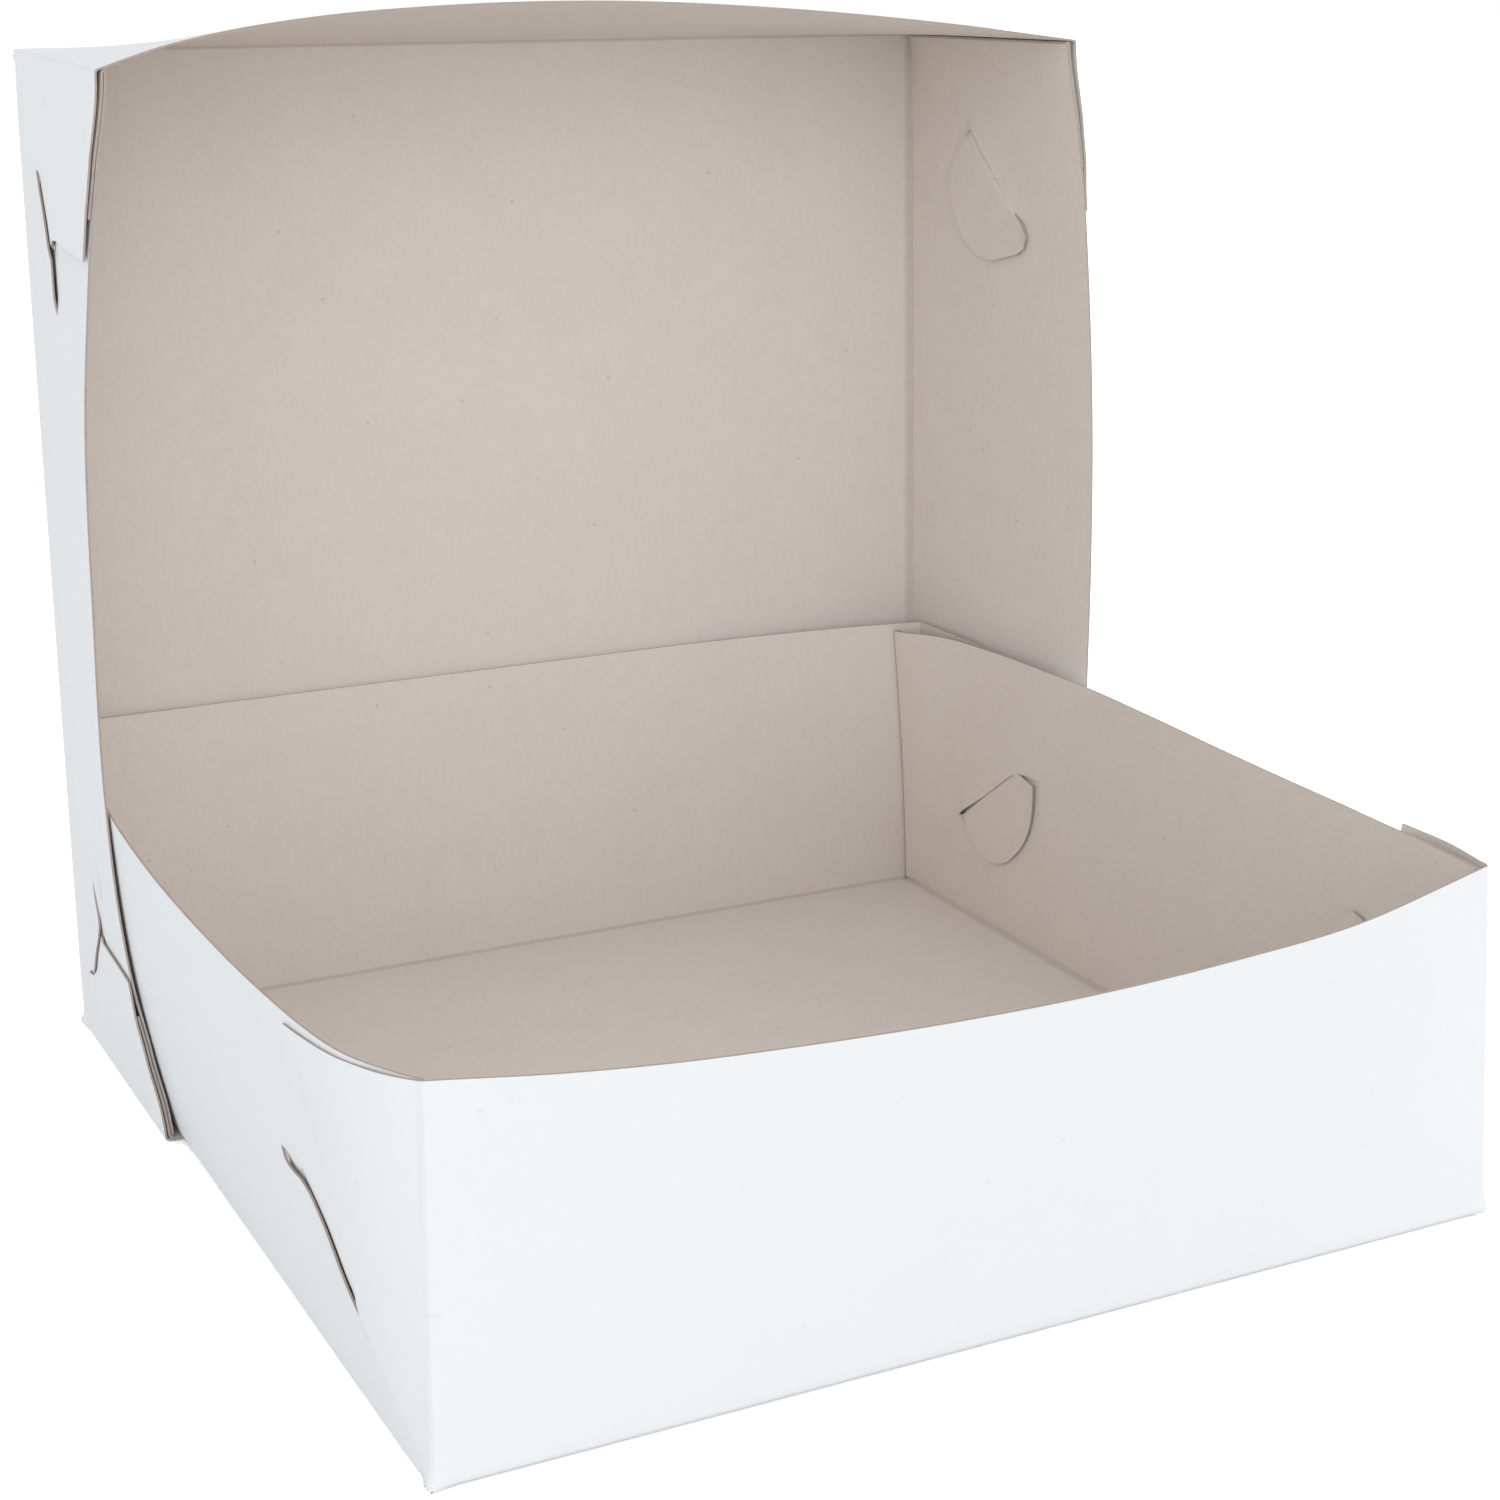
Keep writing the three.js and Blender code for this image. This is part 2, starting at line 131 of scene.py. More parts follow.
def smooth_line(at, knots):
    """A smooth line through the knots: between two of them the cubic that has both values and both slopes, where a
    knot's slope is taken from its neighbours."""
    where, value = np.asarray(knots, float).T
    slope = np.gradient(value, where)
    at = np.clip(at, where[0], where[-1])
    i = np.clip(np.searchsorted(where, at, side="right") - 1, 0, len(where) - 2)
    span = where[i + 1] - where[i]
    t = (at - where[i]) / span
    return ((2 * t ** 3 - 3 * t ** 2 + 1) * value[i] + (t ** 3 - 2 * t ** 2 + t) * span * slope[i]
            + (3 * t ** 2 - 2 * t ** 3) * value[i + 1] + (t ** 3 - t ** 2) * span * slope[i + 1])


def stations(start, stop, step, ends=(0.7, 1.6, 3.0, 5.4, 8.6)):
    """Places from start to stop, about step apart in the middle and closer together towards both ends."""
    near = start + np.array(ends)
    far = stop - np.array(ends)[::-1]
    count = max(int(round((far[0] - near[-1]) / step)), 1)
    return np.concatenate([[start], near, np.linspace(near[-1], far[0], count + 1)[1:-1], far, [stop]])


def arc(centre, radius, start, stop, count=5):
    """Points (a, b) on a circle between two angles in degrees, without the two ends."""
    angle = np.radians(np.linspace(start, stop, count + 2)[1:-1])
    return centre[0] + radius * np.cos(angle), centre[1] + radius * np.sin(angle)


def grid(*arrays):
    """Three arrays of rows and columns, or numbers, as one array of points."""
    return np.stack(np.broadcast_arrays(*arrays), axis=-1).astype(float)


def grid_quads(rows, columns):
    """The quads between the points of a grid, each as the numbers of its corners."""
    index = np.arange(rows * columns).reshape(rows, columns)
    return np.stack([index[:-1, :-1], index[:-1, 1:], index[1:, 1:], index[1:, :-1]], axis=-1).reshape(-1, 4)


class Sheet:
    """The middle layer of a folded board: patches of points in rows and columns, welded where their points meet."""

    def __init__(self, width, length):
        self.width, self.length = width, length
        self.points, self.flat, self.fold, self.quads, self.bare = [], [], [], [], []
        self.count = 0

    def add(self, points, flat, coated, fold=0.0, cell=None, bare_rows=0, flip_x=False, flip_y=False):
        """Adds a patch. coated is the way that its coated side faces at the cell, flips carry it to another corner of
        the tray, and its first bare_rows are half cut through, so that they show the board's core."""
        rows, columns = points.shape[:2]
        r, c = cell if cell else (rows // 2, columns // 2)
        across = points[r, c] - points[r - 1, c - 1]
        other = points[r, c - 1] - points[r - 1, c]
        turned = np.dot(np.cross(across, other), coated) < 0
        quads = self.count + grid_quads(rows, columns)
        if turned != (flip_x != flip_y):
            quads = quads[:, ::-1]
        points = points.copy()
        if flip_x:
            points[..., 0] = self.width - points[..., 0]
        if flip_y:
            points[..., 1] = self.length - points[..., 1]
        self.points.append(points.reshape(-1, 3))
        self.flat.append(np.broadcast_to(flat, points.shape[:2] + (2,)).reshape(-1, 2))
        self.fold.append(np.broadcast_to(fold, points.shape[:2]).reshape(-1))
        self.quads.append(quads)
        self.bare.append(np.arange(len(quads)) < bare_rows * (columns - 1))
        self.count += rows * columns

    def welded(self):
        """All patches as points, quads, and the flat place and the nearness to a fold of each quad's corners."""
        points, flat = np.concatenate(self.points), np.concatenate(self.flat)
        fold, quads = np.concatenate(self.fold), np.concatenate(self.quads)
        _, first, index = np.unique(np.round(points, 2), axis=0, return_index=True, return_inverse=True)
        index = index.reshape(-1)
        strongest = np.zeros(len(first))
        np.maximum.at(strongest, index, fold)
        return points[first], index[quads], flat[quads], strongest, np.concatenate(self.bare)


def face_normals(points, quads):
    """The cross product of each quad's diagonals: square to it, and as long as twice its area."""
    a, b, c, d = (points[quads[:, k]] for k in range(4))
    return np.cross(c - a, d - b)


def thickened(points, quads, flat, fold, bare):
    """The board's two faces, half its thickness to each side of the middle layer along the points' normals, and a
    strip round every free edge. Returns points, faces, side of each face, flat places and folds."""
    size = face_normals(points, quads)
    normal = np.zeros_like(points)
    for k in range(4):
        np.add.at(normal, quads[:, k], size)
    normal /= np.maximum(np.linalg.norm(normal, axis=1, keepdims=True), 1e-9)
    count = len(points)
    both = np.concatenate([points + normal * HALF, points - normal * HALF])
    edges = np.concatenate([quads[:, [k, (k + 1) % 4]] for k in range(4)])
    places = np.concatenate([flat[:, [k, (k + 1) % 4]] for k in range(4)])
    real = edges[:, 0] != edges[:, 1]
    edges, places = edges[real], places[real]
    key = np.sort(edges, axis=1)
    _, index, times = np.unique(key, axis=0, return_inverse=True, return_counts=True)
    free = times[index.reshape(-1)] == 1
    edges, places = edges[free], places[free]
    strip = np.stack([edges[:, 1], edges[:, 0], edges[:, 0] + count, edges[:, 1] + count], axis=1)
    strip_flat = np.stack([places[:, 1], places[:, 0], places[:, 0], places[:, 1]], axis=1)
    faces = np.concatenate([quads, quads[:, ::-1] + count, strip])
    side = np.concatenate([np.where(bare, CUT, OUTSIDE), np.full(len(quads), INSIDE), np.full(len(strip), CUT)])
    return both, faces, side, np.concatenate([flat, flat[:, ::-1], strip_flat]), np.concatenate([fold, fold])


def standing_off(points, lock, depth):
    """How far the inner layers stand off the outer web: the gap at the rim, less towards the diagonal fold."""
    along, up = points[..., 1], points[..., 2]
    share = np.clip((up - along) / np.maximum(depth - along, 1.0), 0, 1) ** 1.2
    return smooth_line(along, lock["gap"]) * share


def eased(at):
    """0 below 0, 1 above 1, and a smooth step between."""
    at = np.clip(at, 0, 1)
    return at * at * (3 - 2 * at)


def pressing(along, lock):
    """How far the web, or its tongue's root, is pressed in towards the wall at places along it."""
    return lock["pressed"] * eased((along - PRESS_FROM) / PRESS_OVER)


def dipping(along, lock):
    """How far the web's lower edge goes in at places along its tongue's root."""
    return DIP * eased((along - lock["root"][0][0]) / DIP_OVER)


def set_out(points):
    """How far the layers stand out of their place at one corner. The side wall's foot is flush with the outermost
    face, and away from the corner so is the wall, with the web's two halves laid on its outside."""
    along, up = points[..., 1], points[..., 2]
    away = eased(along / SETTLED)
    foot = 1 - np.clip(up / np.maximum(along, 1.2), 0, 1)
    return 2 * LAYER * (away + (1 - away) * foot)


def with_gap(points, lock, depth, free=1.0, whole=True):
    """The points of one corner's layers in place: into the box by how far the inner layers stand off and down where
    those sink, both as far as the points are free, and, for the whole move, out to the outermost face."""
    moved = points.copy()
    moved[..., 0] += standing_off(points, lock, depth) * free
    if whole:
        moved[..., 0] -= set_out(points)
    sink = lock["sink"] * np.exp(-(points[..., 1] / SINK_OVER) ** 2) * (points[..., 2] / depth) ** 2
    moved[..., 2] -= sink * free
    return moved


def add_floor_and_ends(sheet, rows, floor):
    """The front wall, the floor and the rear wall as one strip: its profile runs down the front wall, round the
    fold, back over the floor and up again, and is carried along the width."""
    length = sheet.length
    bend_y, bend_z = arc(*NEAR_BEND, 180, 270)
    y = np.concatenate([np.full(len(rows), HALF), bend_y, [BEND], floor, [length - BEND], length - bend_y[::-1],
                        np.full(len(rows), length - HALF)])
    z = np.concatenate([rows[::-1], bend_z, np.full(len(floor) + 2, HALF), bend_z[::-1], rows])
    fold = np.zeros(len(y))
    first = len(rows)
    fold[first - 1:first + len(bend_y) + 1] = 1.0
    fold[::-1][first - 1:first + len(bend_y) + 1] = 1.0
    path = np.concatenate([[0], np.cumsum(np.hypot(np.diff(y), np.diff(z)))])
    x = stations(SEAM, sheet.width - SEAM, 5.0)
    flat = np.stack(np.broadcast_arrays(x[None, :], path[:, None]), axis=-1) * MM
    sheet.add(grid(x[None, :], y[:, None], z[:, None]), flat, (0, -1, 0), fold[:, None], cell=(2, 5))


def add_side(sheet, depth, floor, locks, flip_x):
    """A side wall from its seam in the floor, round the fold and up to the rim, open along the slit of each lock."""
    length = sheet.length

    def by_lock(at_lock):
        """What at_lock gives for the distance from the nearer corner and that corner's lock."""
        return np.where(floor < length / 2, at_lock(floor, locks[0]), at_lock(length - floor, locks[1]))

    bend_x, bend_z = arc((WALL + BEND - HALF, BEND), BEND - HALF, 270, 180)
    middle, opening, notch = (by_lock(lambda along, lock: smooth_line(along, lock[name]))
                              for name in ("slit", "opening", "notch"))
    lower = BEND + (middle - opening - BEND) * LOWER_ROWS
    upper = middle + opening + notch + (depth - middle - opening - notch) * UPPER_ROWS
    pushed = by_lock(lambda along, lock: lock["lip"] - pressing(along, lock))
    past_root = by_lock(lambda along, lock: eased((along - lock["root"][1][0]) / 5.0))
    lips = pushed * np.clip(opening / 0.12, 0, 1) * (1 - 0.4 * past_root)
    start_x = np.concatenate([[SEAM, WALL + BEND - HALF], bend_x])[:, None]
    start_z = np.concatenate([[HALF, HALF], bend_z])[:, None]
    lower_x = np.concatenate([np.broadcast_to(start_x, (len(start_x), len(floor))), np.full(lower.shape, WALL)])
    lower_z = np.concatenate([np.broadcast_to(start_z, (len(start_z), len(floor))), lower])
    lower_x = lower_x - lips * np.exp(-((lower_z - middle) / LOWER_LIP) ** 2) * (lower_x == WALL)
    upper_x = WALL + UPPER_SHARE * lips * np.exp(-((upper - middle) / UPPER_LIP) ** 2)
    for x, z, fold_rows in ((lower_x, lower_z, len(start_x) + 1), (upper_x, upper, 0)):
        straight = grid(x, floor[None, :], z)
        back = straight * (1, -1, 1) + (0, length, 0)
        points = with_gap(straight, locks[0], depth, whole=False)
        points += (with_gap(back, locks[1], depth, whole=False) - back) * (1, -1, 1)
        points[..., 0] -= np.minimum(set_out(straight), set_out(back)) * np.clip((SEAM - x) / (SEAM - WALL), 0, 1)
        fold = np.zeros(x.shape)
        fold[1:fold_rows] = 1.0
        flat = np.stack([-z - SEAM, np.broadcast_to(floor[None, :] + depth, z.shape)], axis=-1) * MM
        sheet.add(points, flat, (-1, 0, 0), fold, cell=(x.shape[0] - 2, 20), flip_x=flip_x)


def corner_lines(lock):
    """Places along the diagonal fold, and (along, up) of points along the tongue's root."""
    root = np.array(lock["root"])
    diagonal = np.linspace(START, root[0, 0], DIAGONAL_POINTS)
    return diagonal, root[0] + (root[1] - root[0]) * np.linspace(0, 1, ROOT_POINTS)[:, None]


def add_outer_half(sheet, depth, rows, lock, flips):
    """The outer half of a web, from a stub of the end wall round the vertical fold to its free end."""
    diagonal, along_root = corner_lines(lock)
    stub = np.array([SEAM, 3.0, 2.0, BEND])
    bend_x, bend_y = arc(*NEAR_BEND, 270, 180)
    turn = len(stub) + len(bend_x)
    flat_x = np.concatenate([stub, bend_x, np.full(len(diagonal) + len(along_root), WEB)])
    low_y = np.concatenate([np.full(len(stub), HALF), bend_y, [BEND], diagonal, along_root[1:, 0]])
    low_z = np.concatenate([np.full(turn + 1, BEND), diagonal, along_root[1:, 1]])
    step = np.clip((np.arange(len(low_y)) - turn) / (len(low_y) - turn - 1), 0, 1)
    top_y = np.where(step > 0, BEND + (lock["web_end"][0][1] - BEND) * step ** 1.15, low_y)
    share = ((rows - BEND) / (depth - BEND))[:, None]
    y = low_y + (top_y - low_y) * share
    z = low_z + (depth - lock["drop"] * step - low_z) * share
    straight_end = low_y[-1] + (top_y[-1] - low_y[-1]) * share
    y = y + (smooth_line(1 - share, lock["web_end"]) - straight_end) * step ** 4
    pressed = pressing(y, lock) * (step > 0)
    pressed = np.maximum(pressed, lock["rim_press"] * eased((y - 6.0) / PRESS_OVER) * share ** 6)
    flare = smooth_line(y, lock["flare"]) * np.clip((z - y) / (depth - y), 0, 1) * (step > 0)
    dip = dipping(low_y, lock) * np.exp(-((z - low_z) / DIP_UP) ** 2)
    points = grid(flat_x + pressed - flare + dip, y, z)
    points[..., 0] -= np.where(step > 0, set_out(points), 0)
    fold = np.zeros(y.shape)
    fold[:, len(stub):turn] = 1.0
    flat = np.stack([-y, -z], axis=-1) * MM
    sheet.add(points, flat, (-1, 0, 0), fold, cell=(10, len(low_y) - 6), **flips)


def add_foot(sheet, flips):
    """The foot of the end wall beside a corner."""
    bend_y, bend_z = arc(*NEAR_BEND, 180, 270)
    y = np.concatenate([[HALF], bend_y, [BEND, START]])[:, None]
    z = np.concatenate([[BEND], bend_z, [HALF, HALF]])[:, None]
    x = np.array([SEAM, 3.0, 2.0, 1.2])[None, :]
    flat = np.stack(np.broadcast_arrays(x, -z), axis=-1) * MM
    sheet.add(grid(x, y, z), flat, (0, -1, 0), 1.0, cell=(1, 1), **flips)


def add_inner_half(sheet, depth, lock, flips):
    """A web from its diagonal fold, down round to the inner half, and the fold from there back to the side wall."""
    diagonal, _ = corner_lines(lock)
    turn = np.linspace(0, np.pi, 8)[:, None]
    middle, radius = (WEB + INNER_WEB) / 2, LAYER / 2
    reach = radius * np.sin(turn) * math.sqrt(0.5)
    points = grid(middle - radius * np.cos(turn), diagonal[None, :] + reach, diagonal[None, :] - reach)
    points = with_gap(points, lock, depth, turn / np.pi)
    flat = np.stack([-points[..., 1], -points[..., 2]], axis=-1) * MM
    sheet.add(points, flat, (0, 1, -1), 1.0, cell=(4, 6), **flips)

    # The half itself ends in the hollow curve that the tongue was cut from.
    share = np.linspace(0, 1, 22)[:, None]
    step = (np.arange(len(diagonal)) / (len(diagonal) - 1))[None, :]
    top = START + (40.0 - START) * step
    y = diagonal + (top - diagonal) * share - 9.0 * step ** 3 * np.sin(np.pi * share ** 0.6)
    z = diagonal + (depth - lock["inner_drop"] * step - diagonal) * share
    points = with_gap(grid(INNER_WEB, y, z), lock, depth)
    sheet.add(points, np.stack([-z, -y], axis=-1) * MM, (1, 0, 0), 0.0, **flips)

    back_x, back_y = arc(((INNER_WEB + WALL) / 2, START), LAYER / 2, 180, 360)
    back_x = np.concatenate([[INNER_WEB], back_x, [WALL]])[None, :]
    back_y = np.concatenate([[START], back_y, [START]])[None, :]
    z = START + (depth - START) * share
    points = with_gap(grid(back_x, back_y, z), lock, depth)
    flat = np.stack([-points[..., 2], -points[..., 0]], axis=-1) * MM
    sheet.add(points, flat, (0, 1, 0), 1.0, **flips)


def add_tongue(sheet, depth, lock, flips):
    """A tongue: from its root down through the slit, and flat inside the wall."""
    _, along_root = corner_lines(lock)
    root = np.array(lock["root"])
    way = root[1] - root[0]
    way = way / np.linalg.norm(way)
    square = np.array([way[1], -way[0]])
    belly = np.array(lock["belly"])
    travel = np.concatenate([[0], np.cumsum(np.linalg.norm(np.diff(belly, axis=0), axis=1))])
    at = np.linspace(0, 1, len(along_root)) ** 0.9 * travel[-1]
    edge = np.stack([smooth_line(at, np.stack([travel, belly[:, k]], axis=1)) for k in (0, 1)], axis=1)
    rim = root[0] + edge[:, :1] * way + edge[:, 1:] * square
    run = np.maximum(np.linalg.norm(rim - along_root, axis=1), 0.1)
    near = np.minimum(np.array([0, CUT_IN, STRIP, 1.2, STRIP + RAMP])[:, None] / run,
                      [[0], [0.03], [0.1], [0.11], [0.12]])
    share = np.concatenate([near, np.maximum(TONGUE_ROWS, near[-1] + 0.001)])
    place = along_root + (rim - along_root) * share[..., None]
    passed = np.interp(run * share, [0, CUT_IN, STRIP, STRIP + RAMP], [0, 0.05, 0.05, 1])
    lift = lock["hook_lift"] * (at / at[-1]) ** 3 * share ** 2
    from_x = WEB + pressing(along_root[:, 0], lock) + dipping(along_root[:, 0], lock)
    points = grid(from_x + (TONGUE - from_x) * passed + lift, place[..., 0], place[..., 1])
    points = with_gap(points, lock, depth, passed)
    flat = np.stack([-place[..., 0], -place[..., 1]], axis=-1) * MM
    sheet.add(points, flat, (-1, 0, 0), 0.0, cell=(9, 6), bare_rows=2, **flips)


def add_corner(sheet, depth, rows, lock, flip_x, flip_y):
    """A corner lock: the web's two halves, the foot of the end wall and the tongue."""
    flips = {"flip_x": flip_x, "flip_y": flip_y}
    add_outer_half(sheet, depth, rows, lock, flips)
    add_foot(sheet, flips)
    add_inner_half(sheet, depth, lock, flips)
    add_tongue(sheet, depth, lock, flips)


def bent(points, width, length, depth, rims, ears, front_lean):
    """The straight walls bent outwards: each point moves by its rim's offset times its height over the depth, fading
    to nothing at the wall across, and comes down as on a wall that keeps its length. The left wall also bulges, most
    at half its height. front_lean, in degrees, opens the front wall. An ear pushes the points near its corner of the
    floor outwards."""
    x, y, z = points.T
    u, v = np.clip(x / width, 0, 1), np.clip(y / length, 0, 1)
    slope_x = (smooth_line(y, rims["right"]) * u - smooth_line(y, rims["left"]) * (1 - u)) / depth
    slope_y = (smooth_line(x, rims["rear"]) * v - smooth_line(x, rims["front"]) * (1 - v)) / depth
    out = points.copy()
    out[:, 0] += slope_x * z - smooth_line(y, rims["bulge"]) * (1 - u) ** 4 * np.sin(np.pi * np.clip(z / depth, 0, 1))
    out[:, 1] += (slope_y - math.tan(math.radians(front_lean)) * (1 - v)) * z
    out[:, 2] = z * np.sqrt(1 - slope_x ** 2 - slope_y ** 2)
    for (flip_x, flip_y), ear in ears.items():
        corner = np.array([width if flip_x else 0.0, length if flip_y else 0.0])
        away = np.linalg.norm(np.stack([x - corner[0], y - corner[1], z * 0.8], axis=1), axis=1)
        push = np.exp(-(away / EAR_OVER) ** 2)
        out[:, 0] += ear[0] * push * (1 if flip_x else -1)
        out[:, 1] += ear[1] * push * (1 if flip_y else -1)
    return out


def tray_mesh(width, length, depth, rims, locks, front_lean):
    """One tray as a mesh in millimetres: floor to z 0, walls up, front left corner at the origin."""
    sheet = Sheet(width, length)
    rows = stations(BEND, depth, 5.0)
    floor = stations(START, length - START, 2.6)
    add_floor_and_ends(sheet, rows, floor)
    for flip_x in (False, True):
        add_side(sheet, depth, floor, (locks[flip_x, False], locks[flip_x, True]), flip_x)
        for flip_y in (False, True):
            add_corner(sheet, depth, rows, locks[flip_x, flip_y], flip_x, flip_y)
    points, quads, flat, fold, bare = sheet.welded()
    ears = {corner: lock["ear"] for corner, lock in locks.items() if any(lock["ear"])}
    points = bent(points, width, length, depth, rims, ears, front_lean)
    return thickened(points, quads, flat, fold, bare)


def make_mesh(name, points, faces, side, flat, fold, matrix):
    """A Blender mesh, in metres, of the faces; a quad with two corners in one point becomes a triangle."""
    points = points @ np.array(matrix.to_3x3()).T * MM + np.array(matrix.translation)
    same = faces == np.roll(faces, 1, axis=1)
    keep = same.sum(axis=1) < 2
    faces, side, flat, same = faces[keep], side[keep], flat[keep], same[keep]
    polygons = [[v for v, drop in zip(face, skip) if not drop] for face, skip in zip(faces.tolist(), same.tolist())]
    mesh = bpy.data.meshes.new(name)
    mesh.from_pydata(points.tolist(), [], polygons)
    mesh.polygons.foreach_set("material_index", side.astype(np.int32))
    mesh.polygons.foreach_set("use_smooth", np.ones(len(polygons), bool))
    layer = mesh.uv_layers.new(name="flat_sheet")
    layer.data.foreach_set("uv", flat[~same].astype(np.float32).ravel())
    # The fold attribute marks the folds, where the board materials paint shade.
    crease = mesh.attributes.new("fold", "FLOAT", "POINT")
    crease.data.foreach_set("value", fold.astype(np.float32))
    mesh.update()
    mesh.set_sharp_from_angle(angle=math.radians(SHARP))
    return mesh


def add_node(tree, kind, inputs=None, **settings):
    """A new node with its settings and inputs; an input is a value or the socket that it is linked to."""
    node = tree.nodes.new(kind)
    for name, value in settings.items():
        setattr(node, name, value)
    for name, value in (inputs or {}).items():
        if isinstance(value, bpy.types.NodeSocket):
            tree.links.new(value, node.inputs[name])
        else:
            node.inputs[name].default_value = value
    return node


def maths(tree, operation, a, b=0.0, clamp=False):
    """The result of a Math node on two values or sockets."""
    return add_node(tree, "ShaderNodeMath", {0: a, 1: b}, operation=operation, use_clamp=clamp).outputs[0]


def mixed(tree, factor, a, b):
    """Two colours mixed by the factor."""
    node = add_node(tree, "ShaderNodeMix", {"Factor": factor}, data_type="RGBA")
    colours = [s for s in node.inputs if s.type == "RGBA"]
    for socket, value in zip(colours, (a, b)):
        if isinstance(value, bpy.types.NodeSocket):
            tree.links.new(value, socket)
        else:
            socket.default_value = value
    return next(s for s in node.outputs if s.type == "RGBA")


def fibre_group():
    """Node group for board: from a place in metres, the fibres' height, a soft cloudiness, and sparse flecks."""
    tree = bpy.data.node_groups.new("board fibres", "ShaderNodeTree")
    tree.interface.new_socket("Place", in_out="INPUT", socket_type="NodeSocketVector")
    for name in ("Fibres", "Clouds", "Dark flecks", "Pale flecks"):
        tree.interface.new_socket(name, in_out="OUTPUT", socket_type="NodeSocketFloat")
    inside = tree.nodes.new("NodeGroupInput")
    outside = tree.nodes.new("NodeGroupOutput")
    place = inside.outputs["Place"]
    stretched = add_node(tree, "ShaderNodeMapping", {"Vector": place, "Scale": (1.0, 0.35, 1.0)}).outputs[0]
    fine = add_node(tree, "ShaderNodeTexNoise", {"Vector": stretched, "Scale": 1600.0, "Detail": 4.0,
                                                 "Roughness": 0.65}).outputs[0]
    coarse = add_node(tree, "ShaderNodeTexNoise", {"Vector": stretched, "Scale": 520.0, "Detail": 3.0,
                                                   "Roughness": 0.55}).outputs[0]
    tree.links.new(maths(tree, "ADD", maths(tree, "MULTIPLY", fine, 0.6), maths(tree, "MULTIPLY", coarse, 0.4)),
                   outside.inputs["Fibres"])
    clouds = add_node(tree, "ShaderNodeTexNoise", {"Vector": place, "Scale": 38.0, "Detail": 5.0,
                                                   "Roughness": 0.6}).outputs[0]
    tree.links.new(clouds, outside.inputs["Clouds"])
    for name, scale, low, high in (("Dark flecks", 150.0, 0.05, 0.11), ("Pale flecks", 260.0, 0.06, 0.13)):
        cells = add_node(tree, "ShaderNodeTexVoronoi", {"Vector": place, "Scale": scale, "Randomness": 1.0})
        near = add_node(tree, "ShaderNodeMapRange", {"Value": cells.outputs["Distance"], "From Min": low,
                                                     "From Max": high, "To Min": 1.0, "To Max": 0.0}).outputs[0]
        chosen = add_node(tree, "ShaderNodeSeparateColor", {"Color": cells.outputs["Color"]}).outputs[0]
        few = maths(tree, "GREATER_THAN", chosen, 0.86)
        tree.links.new(maths(tree, "MULTIPLY", near, few), outside.inputs[name])
    return tree


# The board's looks: colour, its darker and paler parts, roughness, strength of the relief, colour of the dark flecks
# and of the painted shade at folds, and that painted shade's share.
BOARD_LOOKS = {
    "board outside": ((0.835, 0.862, 0.882, 1), (0.82, 0.848, 0.87, 1), (0.85, 0.875, 0.892, 1), 0.42, 0.04,
                      (0.70, 0.70, 0.72, 1), 0.25),
    "board inside": ((0.735, 0.679, 0.635, 1), (0.69, 0.627, 0.583, 1), (0.81, 0.765, 0.725, 1), 0.8, 0.3,
                     (0.36, 0.29, 0.25, 1), 0.35),
    "board cut edge": ((0.42, 0.35, 0.31, 1), (0.33, 0.265, 0.225, 1), (0.52, 0.45, 0.41, 1), 0.85, 0.3,
                       (0.27, 0.21, 0.175, 1), 0.0),
}
CLOUD_SHARE, GRAIN_SHARE, DARK_FLECK_SHARE, PALE_FLECK_SHARE = 0.5, 0.5, 0.35, 0.3
RELIEF = 0.0002  # metres


def board_material(name, fibres, colour, dark, pale, roughness, strength, fleck_and_fold_shade, fold_shade_share):
    """A face of the board: its colour with cloudiness and flecks, painted shade along the folds, and fibre relief."""
    material = bpy.data.materials.new(name)
    material.use_nodes = True
    tree = material.node_tree
    tree.nodes.clear()
    place = add_node(tree, "ShaderNodeUVMap", uv_map="flat_sheet").outputs[0]
    group = add_node(tree, "ShaderNodeGroup", node_tree=fibres)
    tree.links.new(place, group.inputs["Place"])
    cloud = add_node(tree, "ShaderNodeMapRange", {"Value": group.outputs["Clouds"], "From Min": 0.3,
                                                  "From Max": 0.7}).outputs[0]
    grain = add_node(tree, "ShaderNodeMapRange", {"Value": group.outputs["Fibres"], "From Min": 0.35,
                                                  "From Max": 0.65}).outputs[0]
    base = mixed(tree, maths(tree, "MULTIPLY", cloud, CLOUD_SHARE), colour, dark)
    base = mixed(tree, maths(tree, "MULTIPLY", grain, GRAIN_SHARE), base, pale)
    base = mixed(tree, maths(tree, "MULTIPLY", group.outputs["Dark flecks"], DARK_FLECK_SHARE), base, fleck_and_fold_shade)
    base = mixed(tree, maths(tree, "MULTIPLY", group.outputs["Pale flecks"], PALE_FLECK_SHARE), base, pale)
    # Painted shade: where the fold attribute is set, the colour is darkened towards the dark fleck colour.
    fold = add_node(tree, "ShaderNodeAttribute", attribute_name="fold").outputs["Fac"]
    base = mixed(tree, maths(tree, "MULTIPLY", fold, fold_shade_share), base, fleck_and_fold_shade)
    bump = add_node(tree, "ShaderNodeBump", {"Height": group.outputs["Fibres"], "Strength": strength,
                                             "Distance": RELIEF})
    rough = add_node(tree, "ShaderNodeMapRange", {"Value": group.outputs["Clouds"], "To Min": roughness - 0.06,
                                                  "To Max": roughness + 0.06}).outputs[0]
    shader = add_node(tree, "ShaderNodeBsdfPrincipled", {"Base Color": base, "Roughness": rough,
                                                         "Normal": bump.outputs[0], "IOR": 1.45,
                                                         "Specular IOR Level": 0.35})
    add_node(tree, "ShaderNodeOutputMaterial", {"Surface": shader.outputs[0]})
    return material


def board_materials():
    """The coated outside, the bare inside and the cut edge of the board."""
    if all(name in bpy.data.materials for name in BOARD_LOOKS):
        return [bpy.data.materials[name] for name in BOARD_LOOKS]
    fibres = fibre_group()
    return [board_material(name, fibres, *look) for name, look in BOARD_LOOKS.items()]


